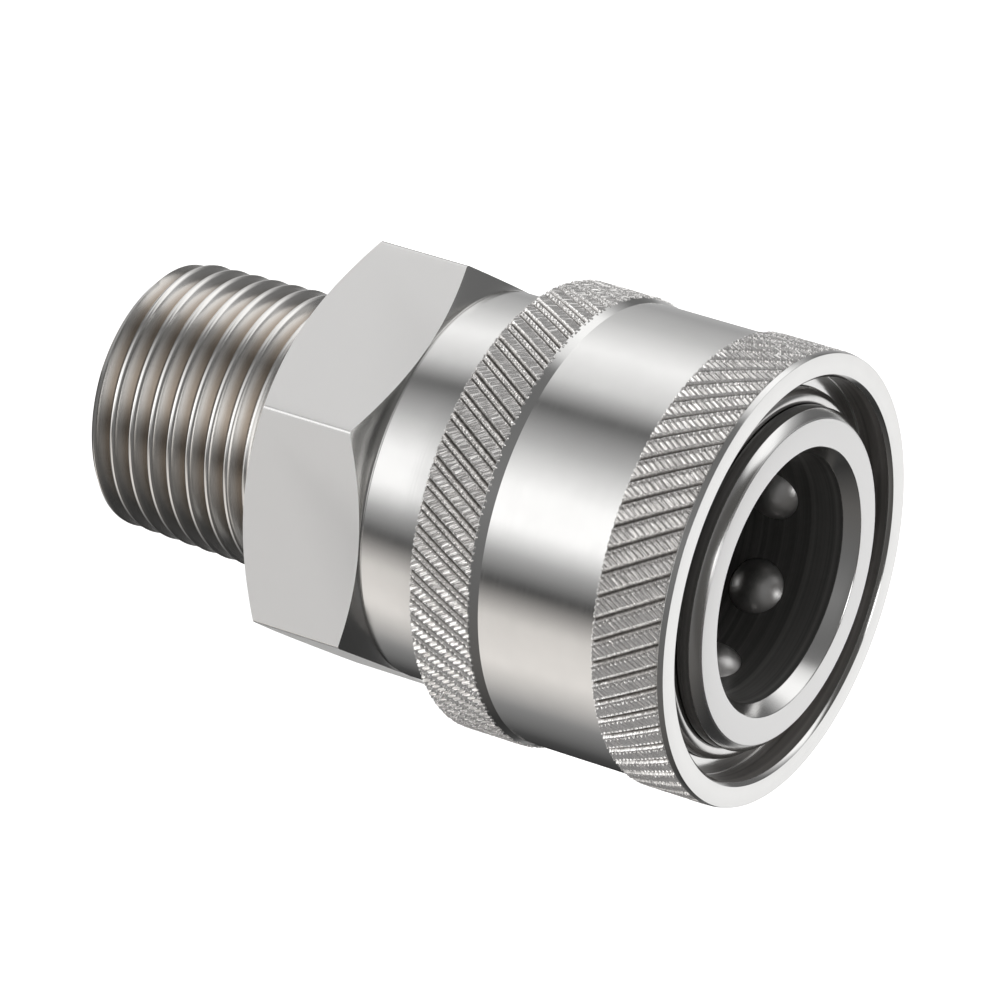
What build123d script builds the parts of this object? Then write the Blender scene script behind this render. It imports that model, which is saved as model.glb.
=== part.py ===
from build123d import *

# Quick-connect coupler for a high-pressure hose: a socket that a grooved plug snaps into.
# The body is turned from hexagon bar and carries a tapered pipe thread at its lower end.
# Eight balls in the wall of its nose hold the plug, and a sprung collar holds the balls in.
# The part stands on its thread, mouth up. Z is its axis, and z = 0 is the thread's end face.
# All sizes are in millimetres.

import math
import os

# Body, lengths along the axis
thread_length = 14.1
hex_length = 8.2
barrel_length = 5.9
nose_stand_out = 0.26
socket_depth = 21.3

# Body, radii and walls
socket_radius = 7.6
flow_radius = 5.0
nose_wall = 2.85
mouth_flare = 0.64
hex_corner_inset = 0.0436

# Tapered pipe thread, cut as rings of the thread's own pitch and form
thread_end_radius = 8.335
thread_taper = 1 / 32
thread_pitch = 1.411
thread_depth = 1.0
thread_flank_angle = 60.0
thread_root_width = 0.096
thread_first_groove = 1.14
thread_groove_count = 9
thread_end_chamfer = 0.65

# Edges of the body
hex_chamfer_angle = 30.0
hex_corner_rounding = 0.18
barrel_relief_width = 0.3
barrel_relief_depth = 0.2
barrel_edge_chamfer = 0.2
flow_end_chamfer = 0.4
mouth_chamfer_depth = 0.85
nose_chamfer_depth = 0.55

# Locking balls and their pockets
ball_count = 8
ball_radius = 1.984
ball_depth = 5.75
ball_first_angle = -2.5
pocket_clearance = 0.026
ball_seat_gap = 0.045
ball_outward_travel = 0.94

# Collar
collar_length = 17.25
collar_stroke = 4.7
stroke_end_gap = 0.15
rim_wall = 1.6
waist_step = 0.3
front_grip_width = 4.58
rear_grip_width = 4.15
waist_ramp = 0.6
rim_clearance = 1.0
rim_depth = 2.0
rim_chamfer = 0.22
grip_chamfer = 0.22
sliding_clearance = 0.07
land_clearance = 0.08
land_length = 5.3
land_grip_length = 1.71
cone_mouth_depth = 0.1

# Retaining ring, a split ring of round wire
ring_wire_radius = 0.65
ring_stand_out = 0.2
ring_gap_angle = 14.0
ring_gap_at = 120.0
ring_fit = 0.02
ring_stop_gap = 0.03

# Return spring
spring_wire_radius = 0.5
spring_end_turns = 0.75
spring_active_turns = 1.9
spring_seat_gap = 0.03
spring_side_gap = 0.31

# Seal
seal_section_radius = 1.31
seal_fit = 0.03
seal_stand_in = 0.72
seal_groove_width = 3.3
seal_groove_above_stop = 1.5

# Places along the axis
z_hex_rear = thread_length
z_hex_front = z_hex_rear + hex_length
z_shoulder = z_hex_front + barrel_length
z_collar_rear = z_hex_front + stroke_end_gap + collar_stroke
z_collar_face = z_collar_rear + collar_length
z_nose_face = z_collar_face + nose_stand_out
z_ball = z_nose_face - ball_depth
z_socket_floor = z_nose_face - socket_depth
z_land_front = z_collar_face - rim_depth
z_land_rear = z_land_front - land_length

# Radii that follow from what fits together, from the socket outwards
mouth_radius = socket_radius + mouth_flare
nose_radius = socket_radius + nose_wall
land_radius = nose_radius + land_clearance
collar_bore_radius = nose_radius + 2 * (spring_wire_radius + spring_side_gap)
barrel_radius = collar_bore_radius - sliding_clearance
spring_mean_radius = nose_radius + spring_side_gap + spring_wire_radius
ring_centre_radius = nose_radius + ring_stand_out
rim_radius = ring_centre_radius + ring_wire_radius + rim_clearance
grip_radius = rim_radius + rim_wall
waist_radius = grip_radius - waist_step
ball_centre_radius = land_radius - ball_radius - ball_seat_gap
pocket_radius = ball_radius + pocket_clearance
seal_groove_radius = socket_radius + 2 * seal_section_radius - seal_stand_in
seal_centre_radius = seal_groove_radius - seal_section_radius - seal_fit
z_seal = z_socket_floor + seal_groove_above_stop + seal_groove_width / 2

# The hexagon's corners stand level with the collar's grip bands, for a 24 mm wrench
hex_corner_radius = grip_radius - hex_corner_inset
hex_flat_radius = hex_corner_radius * math.cos(math.radians(30))

# The land's mouth is a shallow cone, so the balls follow it out as the collar slides back
cone_slope = 1.04 * ball_outward_travel / collar_stroke
z_cone_root = z_land_rear + land_grip_length
z_cone_mouth = z_land_front - cone_mouth_depth
cone_mouth_radius = land_radius + cone_slope * (z_cone_mouth - z_cone_root)

# The ring's height puts its wire against the edge of that cone's mouth
ring_reach = ring_wire_radius + ring_stop_gap
ring_rise = math.sqrt(ring_reach**2 - (cone_mouth_radius - ring_centre_radius) ** 2)
z_ring = z_cone_mouth + ring_rise


def turned(points):
    """A solid of revolution about Z, from its half section as (radius, z) points."""
    outline = Polyline(*[(radius, 0, z) for radius, z in points], close=True)
    return revolve(make_face(outline), Axis.Z, 360)


def around(shape, count, first_angle):
    """Copies of a shape spaced evenly round Z."""
    step = 360 / count
    return [Rot(Z=first_angle + step * i) * shape for i in range(count)]


def thread_blank():
    """The cone that the thread's crests lie on, chamfered at the end."""
    chamfer_radius = thread_end_radius + thread_taper * thread_end_chamfer
    return turned(
        [
            (0, 0),
            (chamfer_radius - thread_end_chamfer, 0),
            (chamfer_radius, thread_end_chamfer),
            (thread_end_radius + thread_taper * z_hex_rear, z_hex_rear),
            (0, z_hex_rear),
        ]
    )


def thread_groove(z_middle):
    """One ring of the thread: a flat-bottomed V that is cut down from the crests."""
    crest_radius = thread_end_radius + thread_taper * z_middle
    flank = math.tan(math.radians(thread_flank_angle / 2))
    root_radius = crest_radius - thread_depth
    over = 0.3
    half_root = thread_root_width / 2
    half_top = half_root + (thread_depth + over) * flank
    return turned(
        [
            (root_radius, z_middle - half_root),
            (crest_radius + over, z_middle - half_top),
            (crest_radius + over, z_middle + half_top),
            (root_radius, z_middle + half_root),
        ]
    )


def pipe_thread():
    """The tapered thread."""
    thread = thread_blank()
    for number in range(thread_groove_count):
        thread = thread - thread_groove(thread_first_groove + number * thread_pitch)
    return thread


def hexagon():
    """The wrench hexagon, with its corners turned back at both ends."""
    prism = extrude(RegularPolygon(hex_corner_radius, 6, rotation=90), hex_length)
    prism = fillet(prism.edges().filter_by(Axis.Z), hex_corner_rounding)
    prism = Pos(Z=z_hex_rear) * prism
    corner_height = hex_corner_radius - hex_flat_radius
    chamfer_height = corner_height * math.tan(math.radians(hex_chamfer_angle))
    envelope = turned(
        [
            (0, z_hex_rear),
            (hex_flat_radius, z_hex_rear),
            (hex_corner_radius, z_hex_rear + chamfer_height),
            (hex_corner_radius, z_hex_front - chamfer_height),
            (hex_flat_radius, z_hex_front),
            (0, z_hex_front),
        ]
    )
    return prism & envelope


def nose_and_barrel():
    """The turned front of the body, with the barrel that the collar slides over."""
    relief_radius = barrel_radius - barrel_relief_depth
    z_relief = z_hex_front + barrel_relief_width
    return turned(
        [
            (0, z_hex_front - 1),
            (relief_radius, z_hex_front - 1),
            (relief_radius, z_relief),
            (barrel_radius, z_relief),
            (barrel_radius, z_shoulder - barrel_edge_chamfer),
            (barrel_radius - barrel_edge_chamfer, z_shoulder),
            (nose_radius, z_shoulder),
            (nose_radius, z_nose_face - nose_chamfer_depth),
            (nose_radius - nose_chamfer_depth, z_nose_face),
            (0, z_nose_face),
        ]
    )


def ball_pocket():
    """One pocket, bored in from outside, whose round floor breaks into the socket."""
    floor_radius = ball_centre_radius - pocket_clearance / 2
    bore_length = nose_radius + 1 - floor_radius
    bore = Pos(X=floor_radius) * Rot(Y=90) * Cylinder(
        pocket_radius, bore_length, align=(Align.CENTER, Align.CENTER, Align.MIN)
    )
    floor = Pos(X=floor_radius) * Sphere(pocket_radius)
    return Pos(Z=z_ball) * (bore + floor)


def body_bore():
    """The socket, its mouth and seal groove, and the flow passage down through the thread."""
    z_mouth = z_nose_face - mouth_chamfer_depth
    z_groove = z_seal - seal_groove_width / 2
    return turned(
        [
            (0, 0),
            (flow_radius + flow_end_chamfer, 0),
            (flow_radius, flow_end_chamfer),
            (flow_radius, z_socket_floor),
            (socket_radius, z_socket_floor),
            (socket_radius, z_groove),
            (seal_groove_radius, z_groove),
            (seal_groove_radius, z_groove + seal_groove_width),
            (socket_radius, z_groove + seal_groove_width),
            (socket_radius, z_mouth),
            (mouth_radius, z_nose_face),
            (0, z_nose_face),
        ]
    )


def ring_groove():
    """The square groove round the nose that the retaining ring snaps into."""
    width = 2 * (ring_wire_radius + ring_fit)
    depth_radius = ring_centre_radius - ring_wire_radius - ring_fit
    z_low = z_ring - width / 2
    return turned(
        [
            (depth_radius, z_low),
            (nose_radius + 1, z_low),
            (nose_radius + 1, z_low + width),
            (depth_radius, z_low + width),
        ]
    )


def body():
    """The one-piece body."""
    solid = pipe_thread() + hexagon() + nose_and_barrel()
    solid = solid - body_bore() - ring_groove()
    for pocket in around(ball_pocket(), ball_count, ball_first_angle):
        solid = solid - pocket
    return solid


def collar():
    """The sliding collar: two grip bands, a waist, and the land that holds the balls in."""
    z_front_grip = z_collar_face - front_grip_width
    z_rear_grip = z_collar_rear + rear_grip_width
    return turned(
        [
            (collar_bore_radius, z_collar_rear),
            (grip_radius - grip_chamfer, z_collar_rear),
            (grip_radius, z_collar_rear + grip_chamfer),
            (grip_radius, z_rear_grip),
            (waist_radius, z_rear_grip + waist_ramp),
            (waist_radius, z_front_grip),
            (grip_radius, z_front_grip + grip_chamfer),
            (grip_radius, z_collar_face - grip_chamfer),
            (grip_radius - grip_chamfer, z_collar_face),
            (rim_radius + rim_chamfer, z_collar_face),
            (rim_radius, z_collar_face - rim_chamfer),
            (rim_radius, z_land_front),
            (cone_mouth_radius + cone_mouth_depth, z_land_front),
            (cone_mouth_radius, z_cone_mouth),
            (land_radius, z_cone_root),
            (land_radius, z_land_rear),
            (collar_bore_radius, z_land_rear),
        ]
    )


def lock_ball():
    """One ball at angle zero, held in by the collar's land."""
    return Pos(X=ball_centre_radius, Z=z_ball) * Sphere(ball_radius)


def retaining_ring():
    """The split wire ring that stops the collar leaving the nose."""
    section = Plane.XZ * Pos(ring_centre_radius, z_ring) * Circle(ring_wire_radius)
    ring = revolve(section, Axis.Z, 360 - ring_gap_angle)
    return Rot(Z=ring_gap_at + ring_gap_angle / 2) * ring


def return_spring():
    """The round-wire spring between the shoulder and the land, with closed, ground ends."""
    wire = 2 * spring_wire_radius
    z_low = z_shoulder + spring_seat_gap
    z_high = z_land_rear - spring_seat_gap
    ground = spring_wire_radius / 2
    end_rise = wire * spring_end_turns
    z_start = z_low + ground
    active_rise = (z_high - ground) - z_start - 2 * end_rise
    active_pitch = active_rise / spring_active_turns
    lower = Helix(wire, end_rise, spring_mean_radius)
    active = Pos(Z=end_rise) * Rot(Z=360 * spring_end_turns) * Helix(
        active_pitch, active_rise, spring_mean_radius
    )
    turns_below = spring_end_turns + spring_active_turns
    upper = Pos(Z=end_rise + active_rise) * Rot(Z=360 * turns_below) * Helix(
        wire, end_rise, spring_mean_radius
    )
    route = Wire([lower.edge(), active.edge(), upper.edge()])
    start = Plane(origin=route @ 0, z_dir=route % 0)
    coil = Pos(Z=z_start) * sweep(start * Circle(spring_wire_radius), route, is_frenet=True)
    slab = Pos(Z=z_low) * Cylinder(
        collar_bore_radius, z_high - z_low, align=(Align.CENTER, Align.CENTER, Align.MIN)
    )
    return coil & slab


def plug_seal():
    """The O-ring in the socket's groove."""
    return Pos(Z=z_seal) * Torus(seal_centre_radius, seal_section_radius)


def write(name, shape):
    """Writes one node's STEP file."""
    export_step(shape, f"parts/{name}.step")


os.makedirs("parts", exist_ok=True)
write("body", body())
write("collar", collar())
write("retaining_ring", retaining_ring())
write("return_spring", return_spring())
write("plug_seal", plug_seal())
for number, ball in enumerate(around(lock_ball(), ball_count, ball_first_angle), start=1):
    write(f"lock_ball_{number}", ball)

print("ball travels", ball_outward_travel / collar_stroke, "per unit of collar travel")
print("ring", round(z_ring, 3), "cone mouth", round(cone_mouth_radius, 3), round(z_cone_mouth, 3))
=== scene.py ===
"""A quick-connect coupler for a high-pressure hose, dressed as bright turned stainless steel.

The coupler stands on its thread with its mouth up. Its axis is Z and z = 0 is the thread's end
face. Sizes are given in millimetres and become metres where a mesh is made.
"""

import logging
import math
import random
from dataclasses import dataclass, field
from enum import Enum
from typing import Callable, ClassVar, Sequence

import bpy
from mathutils import Matrix, Vector

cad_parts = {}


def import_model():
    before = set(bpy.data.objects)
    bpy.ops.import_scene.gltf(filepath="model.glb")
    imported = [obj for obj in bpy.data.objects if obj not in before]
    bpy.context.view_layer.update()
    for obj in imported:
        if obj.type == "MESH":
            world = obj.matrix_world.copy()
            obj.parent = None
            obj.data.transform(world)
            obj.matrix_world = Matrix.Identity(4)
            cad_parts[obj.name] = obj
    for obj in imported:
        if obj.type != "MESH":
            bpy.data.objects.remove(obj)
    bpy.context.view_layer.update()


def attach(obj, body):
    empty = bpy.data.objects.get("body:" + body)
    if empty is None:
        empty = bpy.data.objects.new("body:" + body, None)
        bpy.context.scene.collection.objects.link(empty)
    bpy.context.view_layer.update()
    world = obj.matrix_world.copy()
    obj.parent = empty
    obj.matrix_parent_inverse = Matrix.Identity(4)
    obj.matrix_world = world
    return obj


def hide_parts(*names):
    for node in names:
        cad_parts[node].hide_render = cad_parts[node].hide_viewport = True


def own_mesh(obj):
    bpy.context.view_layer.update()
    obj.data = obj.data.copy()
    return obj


MM = 0.001
CUT_REACH = 0.001 * MM
MERGE_REACH = 0.0008 * MM
FULL_TURN = 2 * math.pi
LOG = logging.getLogger("coupler")

Point = tuple[float, float]
Colour = tuple[float, float, float]
Feed = bpy.types.NodeSocket | float | tuple[float, ...]


class Body(Enum):
    """The CAD bodies that the pieces ride on."""

    BODY = "body"
    RING = "ring"
    COLLAR = "collar"


class Slot(Enum):
    """The record's material slots."""

    TURNED = "turned_steel"
    COLLAR = "collar_steel"
    WIRE = "wire_steel"
    BALL = "ball_steel"
    SEAL = "seal_rubber"


class Bench:
    """The plain steps of modelling that every piece shares."""

    @staticmethod
    def clear() -> None:
        """Leaves edit mode and selects nothing."""
        if bpy.context.object and bpy.context.object.mode != "OBJECT":
            bpy.ops.object.mode_set(mode="OBJECT")
        bpy.ops.object.select_all(action="DESELECT")

    @staticmethod
    def pick(*pieces: bpy.types.Object) -> bpy.types.Object:
        """Selects pieces and makes the first one active.

        Args:
            *pieces: The pieces, of which the first becomes the active one.

        Returns:
            The active piece.
        """
        Bench.clear()
        for piece in pieces:
            piece.select_set(True)
        bpy.context.view_layer.objects.active = pieces[0]
        return pieces[0]

    @staticmethod
    def edit(piece: bpy.types.Object, select: str = "VERT") -> None:
        """Enters edit mode on one piece with everything selected.

        Args:
            piece: The piece to edit.
            select: What is picked there: VERT, EDGE or FACE.
        """
        Bench.pick(piece)
        bpy.ops.object.mode_set(mode="EDIT")
        bpy.ops.mesh.select_mode(type=select)
        bpy.ops.mesh.select_all(action="SELECT")

    @staticmethod
    def settle(piece: bpy.types.Object) -> bpy.types.Object:
        """Puts a piece's place, turn and scale into its mesh.

        Args:
            piece: The piece.

        Returns:
            The piece, at the origin.
        """
        Bench.pick(piece)
        bpy.ops.object.transform_apply(location=True, rotation=True, scale=True)
        return piece

    @staticmethod
    def pick_open_edges(piece: bpy.types.Object) -> None:
        """Opens a piece for editing with the edges of its open ends selected.

        Args:
            piece: The open piece.
        """
        Bench.edit(piece, "EDGE")
        bpy.ops.mesh.select_all(action="DESELECT")
        bpy.ops.mesh.select_non_manifold(
            use_wire=False, use_multi_face=False, use_non_contiguous=False, use_verts=False
        )

    @staticmethod
    def done(piece: bpy.types.Object) -> bpy.types.Object:
        """Leaves edit mode, settles the piece and returns it."""
        bpy.ops.object.mode_set(mode="OBJECT")
        return Bench.settle(piece)

    @staticmethod
    def apply(piece: bpy.types.Object, modifier: bpy.types.Modifier) -> None:
        """Applies one modifier to its piece."""
        Bench.pick(piece)
        bpy.ops.object.modifier_apply(modifier=modifier.name)

    @staticmethod
    def heal(piece: bpy.types.Object) -> None:
        """Merges a mesh's doubles and turns its faces outwards.

        Args:
            piece: The piece to heal.
        """
        Bench.edit(piece)
        bpy.ops.mesh.remove_doubles(threshold=MERGE_REACH)
        bpy.ops.mesh.normals_make_consistent(inside=False)
        bpy.ops.object.mode_set(mode="OBJECT")

    @staticmethod
    def smooth(piece: bpy.types.Object, degrees: float) -> None:
        """Shades a piece smooth, except across edges sharper than an angle."""
        Bench.pick(piece)
        bpy.ops.object.shade_smooth_by_angle(angle=math.radians(degrees))

    @staticmethod
    def soften(piece: bpy.types.Object, width: float) -> None:
        """Rounds a piece's edges slightly.

        Args:
            piece: The piece whose edges are rounded.
            width: The rounding's width, in millimetres.
        """
        bevel = piece.modifiers.new("edge", "BEVEL")
        bevel.width = width * MM
        bevel.segments = 2
        bevel.limit_method = "ANGLE"
        bevel.angle_limit = math.radians(22)
        Bench.apply(piece, bevel)

    @staticmethod
    def trim(piece: bpy.types.Object, low: float, high: float) -> None:
        """Cuts a piece off square at two heights and closes the ends.

        Args:
            piece: The piece.
            low: The height below which nothing is kept, in millimetres.
            high: The height above which nothing is kept, in millimetres.
        """
        for height, side in ((low, -1), (high, 1)):
            Bench.edit(piece)
            bpy.ops.mesh.bisect(
                plane_co=(0, 0, height * MM),
                plane_no=(0, 0, side),
                use_fill=True,
                clear_outer=True,
                threshold=CUT_REACH,
            )
            bpy.ops.object.mode_set(mode="OBJECT")

    @staticmethod
    def cut(piece: bpy.types.Object, tool: bpy.types.Object, how: str = "DIFFERENCE") -> None:
        """Cuts a piece with a tool, or keeps what the two share, and removes the tool.

        Args:
            piece: The piece that is cut.
            tool: The closed solid that cuts it.
            how: DIFFERENCE or INTERSECT.
        """
        boolean = piece.modifiers.new("cut", "BOOLEAN")
        boolean.operation = how
        boolean.solver = "EXACT"
        boolean.object = tool
        Bench.apply(piece, boolean)
        bpy.data.objects.remove(tool)

    @staticmethod
    def join(name: str, *pieces: bpy.types.Object) -> bpy.types.Object:
        """Joins pieces into one.

        Args:
            name: The whole's name.
            *pieces: The pieces, which the whole takes in.

        Returns:
            The whole.
        """
        whole = Bench.pick(*pieces)
        bpy.ops.object.join()
        whole.name = name
        whole.data.name = name
        return whole

    @staticmethod
    def turned_copy(piece: bpy.types.Object, name: str, degrees: float) -> bpy.types.Object:
        """Copies a piece, with its own mesh, and turns the copy about Z.

        Args:
            piece: The piece to copy.
            name: The copy's name.
            degrees: The turn, anticlockwise seen from above.

        Returns:
            The copy.
        """
        copy = piece.copy()
        copy.data = piece.data.copy()
        copy.name = name
        bpy.context.collection.objects.link(copy)
        copy.rotation_euler = (0, 0, math.radians(degrees))
        return Bench.settle(copy)


@dataclass
class Lathe:
    """Draws half sections and spins them about Z."""

    steps: int = 192

    def draw(self, name: str, outline: Sequence[Point], closed: bool = True) -> bpy.types.Object:
        """Draws a chain of edges in the XZ plane.

        Args:
            name: The new piece's name.
            outline: The chain's points as (radius, z), in millimetres.
            closed: Whether the last point runs back to the first.

        Returns:
            The piece, which holds the chain alone.
        """
        Bench.clear()
        bpy.ops.mesh.primitive_plane_add(size=MM)
        chain = bpy.context.object
        chain.name = name
        Bench.edit(chain)
        bpy.ops.mesh.merge(type="CENTER")
        here = (0.0, 0.0)
        points = list(outline) + ([outline[0]] if closed else [])
        for number, there in enumerate(points):
            step = ((there[0] - here[0]) * MM, 0.0, (there[1] - here[1]) * MM)
            if number == 0:
                bpy.ops.transform.translate(value=step)
            else:
                bpy.ops.mesh.extrude_vertices_move(TRANSFORM_OT_translate={"value": step})
            here = there
        bpy.ops.mesh.select_all(action="SELECT")
        bpy.ops.mesh.remove_doubles(threshold=0.0005 * MM)
        return Bench.done(chain)

    def turn(self, name: str, outline: Sequence[Point], edge: float = 0.0) -> bpy.types.Object:
        """Turns a closed half section into a solid.

        Args:
            name: The new piece's name.
            outline: The half section's corners as (radius, z), in millimetres.
            edge: How far its corners are rounded, in millimetres.

        Returns:
            The turned piece.
        """
        piece = self.draw(name, outline)
        Bench.edit(piece)
        bpy.ops.mesh.spin(
            steps=self.steps, angle=FULL_TURN, center=(0, 0, 0), axis=(0, 0, 1), dupli=False
        )
        bpy.ops.object.mode_set(mode="OBJECT")
        Bench.heal(piece)
        if edge:
            Bench.soften(piece, edge)
        return piece


def arc(centre: Point, radius: float, start: float, end: float, count: int) -> list[Point]:
    """Points along an arc of a half section.

    Args:
        centre: The arc's centre as (radius, z), in millimetres.
        radius: The arc's radius, in millimetres.
        start: Its first angle, in degrees from the outward direction.
        end: Its last angle, in degrees.
        count: The number of runs it is divided into.

    Returns:
        The points, in order.
    """
    angles = [math.radians(start + (end - start) * i / count) for i in range(count + 1)]
    return [(centre[0] + radius * math.cos(a), centre[1] + radius * math.sin(a)) for a in angles]


class Graph:
    """A short way to lay out the nodes of a material or of the world."""

    def __init__(self, tree: bpy.types.NodeTree) -> None:
        """Takes a node tree to work in and empties it."""
        self.tree = tree
        tree.nodes.clear()

    def add(self, kind: str, **settings: object) -> bpy.types.Node:
        """Adds one node.

        Args:
            kind: The node's type name without its ShaderNode prefix.
            **settings: Its properties, and its inputs' values by their names.

        Returns:
            The node.
        """
        node = self.tree.nodes.new("ShaderNode" + kind)
        for key, value in settings.items():
            if hasattr(node, key):
                setattr(node, key, value)
            else:
                node.inputs[key.replace("_", " ")].default_value = value
        return node

    def link(self, source: bpy.types.NodeSocket, target: bpy.types.NodeSocket) -> None:
        """Joins two sockets."""
        self.tree.links.new(source, target)

    def feed(self, value: Feed, target: bpy.types.NodeSocket) -> None:
        """Gives a socket a link, a number or a colour.

        Args:
            value: What the socket gets: another socket, a number or a colour with its alpha.
            target: The socket.
        """
        if isinstance(value, bpy.types.NodeSocket):
            self.link(value, target)
        else:
            target.default_value = value

    def maths(self, how: str, *values: Feed) -> bpy.types.NodeSocket:
        """Adds one sum.

        Args:
            how: The operation's name.
            *values: Its sockets or numbers, in order.

        Returns:
            The result's socket.
        """
        node = self.add("Math", operation=how)
        for value, target in zip(values, node.inputs):
            self.feed(value, target)
        return node.outputs[0]

    def rise(
        self, value: bpy.types.NodeSocket, start: float, end: float, ease: bool = False
    ) -> bpy.types.NodeSocket:
        """Turns a value into a share.

        Args:
            value: The socket that runs.
            start: Where the share is 0.
            end: Where the share is 1.
            ease: Whether the share eases in and out.

        Returns:
            The share's socket.
        """
        kind = "SMOOTHSTEP" if ease else "LINEAR"
        node = self.add(
            "MapRange", clamp=True, interpolation_type=kind, From_Min=start, From_Max=end
        )
        self.link(value, node.inputs["Value"])
        return node.outputs[0]

    def mix(self, share: Feed, under: Feed, over: Feed, blend: str = "MIX") -> bpy.types.NodeSocket:
        """Lays one colour over another.

        Args:
            share: How much of the upper colour shows.
            under: The lower colour.
            over: The upper colour.
            blend: How the two are mixed.

        Returns:
            The mixed colour's socket.
        """
        node = self.add("Mix", data_type="RGBA", blend_type=blend)
        for value, number in ((share, 0), (under, 6), (over, 7)):
            self.feed(value, node.inputs[number])
        return node.outputs[2]

    def noise(
        self, place: bpy.types.NodeSocket, scale: float, detail: float, roughness: float
    ) -> bpy.types.NodeSocket:
        """Adds a noise.

        Args:
            place: The socket with the place it is read at.
            scale: How fine it is, per unit of the place.
            detail: Its number of finer layers.
            roughness: How strong the finer layers are.

        Returns:
            The noise's socket.
        """
        node = self.add("TexNoise", Scale=scale, Detail=detail, Roughness=roughness)
        self.link(place, node.inputs["Vector"])
        return node.outputs[0]

    def bump(
        self,
        shader: bpy.types.Node,
        height: bpy.types.NodeSocket,
        strength: float,
        distance: float,
    ) -> None:
        """Gives a shader a fine relief.

        Args:
            shader: The shader.
            height: The socket with the relief's height.
            strength: How much of it counts.
            distance: The height's unit, in metres.
        """
        node = self.add("Bump", Strength=strength, Distance=distance)
        self.link(height, node.inputs["Height"])
        self.link(node.outputs[0], shader.inputs["Normal"])

    def ramp(
        self, source: bpy.types.NodeSocket, stops: Sequence[tuple[float, Colour]]
    ) -> bpy.types.NodeSocket:
        """Adds a colour ramp.

        Args:
            source: The socket that runs along the ramp.
            stops: Each stop's place and colour.

        Returns:
            The colour's socket.
        """
        node = self.add("ValToRGB")
        ramp = node.color_ramp
        while len(ramp.elements) < len(stops):
            ramp.elements.new(0.5)
        for element, (place, colour) in zip(ramp.elements, stops):
            element.position = place
            element.color = opaque(colour)
        self.link(source, node.inputs[0])
        return node.outputs[0]


def opaque(colour: Sequence[float]) -> tuple[float, ...]:
    """A colour with its alpha, as sockets take it."""
    return (*colour, 1.0)


def new_finish(
    name: str, **settings: object
) -> tuple[bpy.types.Material, Graph, bpy.types.Node]:
    """Starts a material with one Principled shader.

    Args:
        name: The material's name.
        **settings: The values of the shader's inputs, by their names.

    Returns:
        The material, its graph and its shader.
    """
    material = bpy.data.materials.new(name)
    material.use_nodes = True
    graph = Graph(material.node_tree)
    output = graph.add("OutputMaterial")
    shader = graph.add("BsdfPrincipled", **settings)
    graph.link(shader.outputs[0], output.inputs[0])
    return material, graph, shader


@dataclass(frozen=True)
class Zone:
    """A band of a turned piece, by radius and height in millimetres."""

    inner: float
    outer: float
    low: float
    high: float
    fade: float = 0.12


@dataclass(frozen=True)
class GrooveShade:
    """Painted shade for grooves cut below a crest, darker the deeper they run; in millimetres.

    The crest's radius grows by the taper with each millimetre of height.
    """

    crest: float
    near: float
    far: float
    colour: Colour
    taper: float = 0.0


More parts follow.
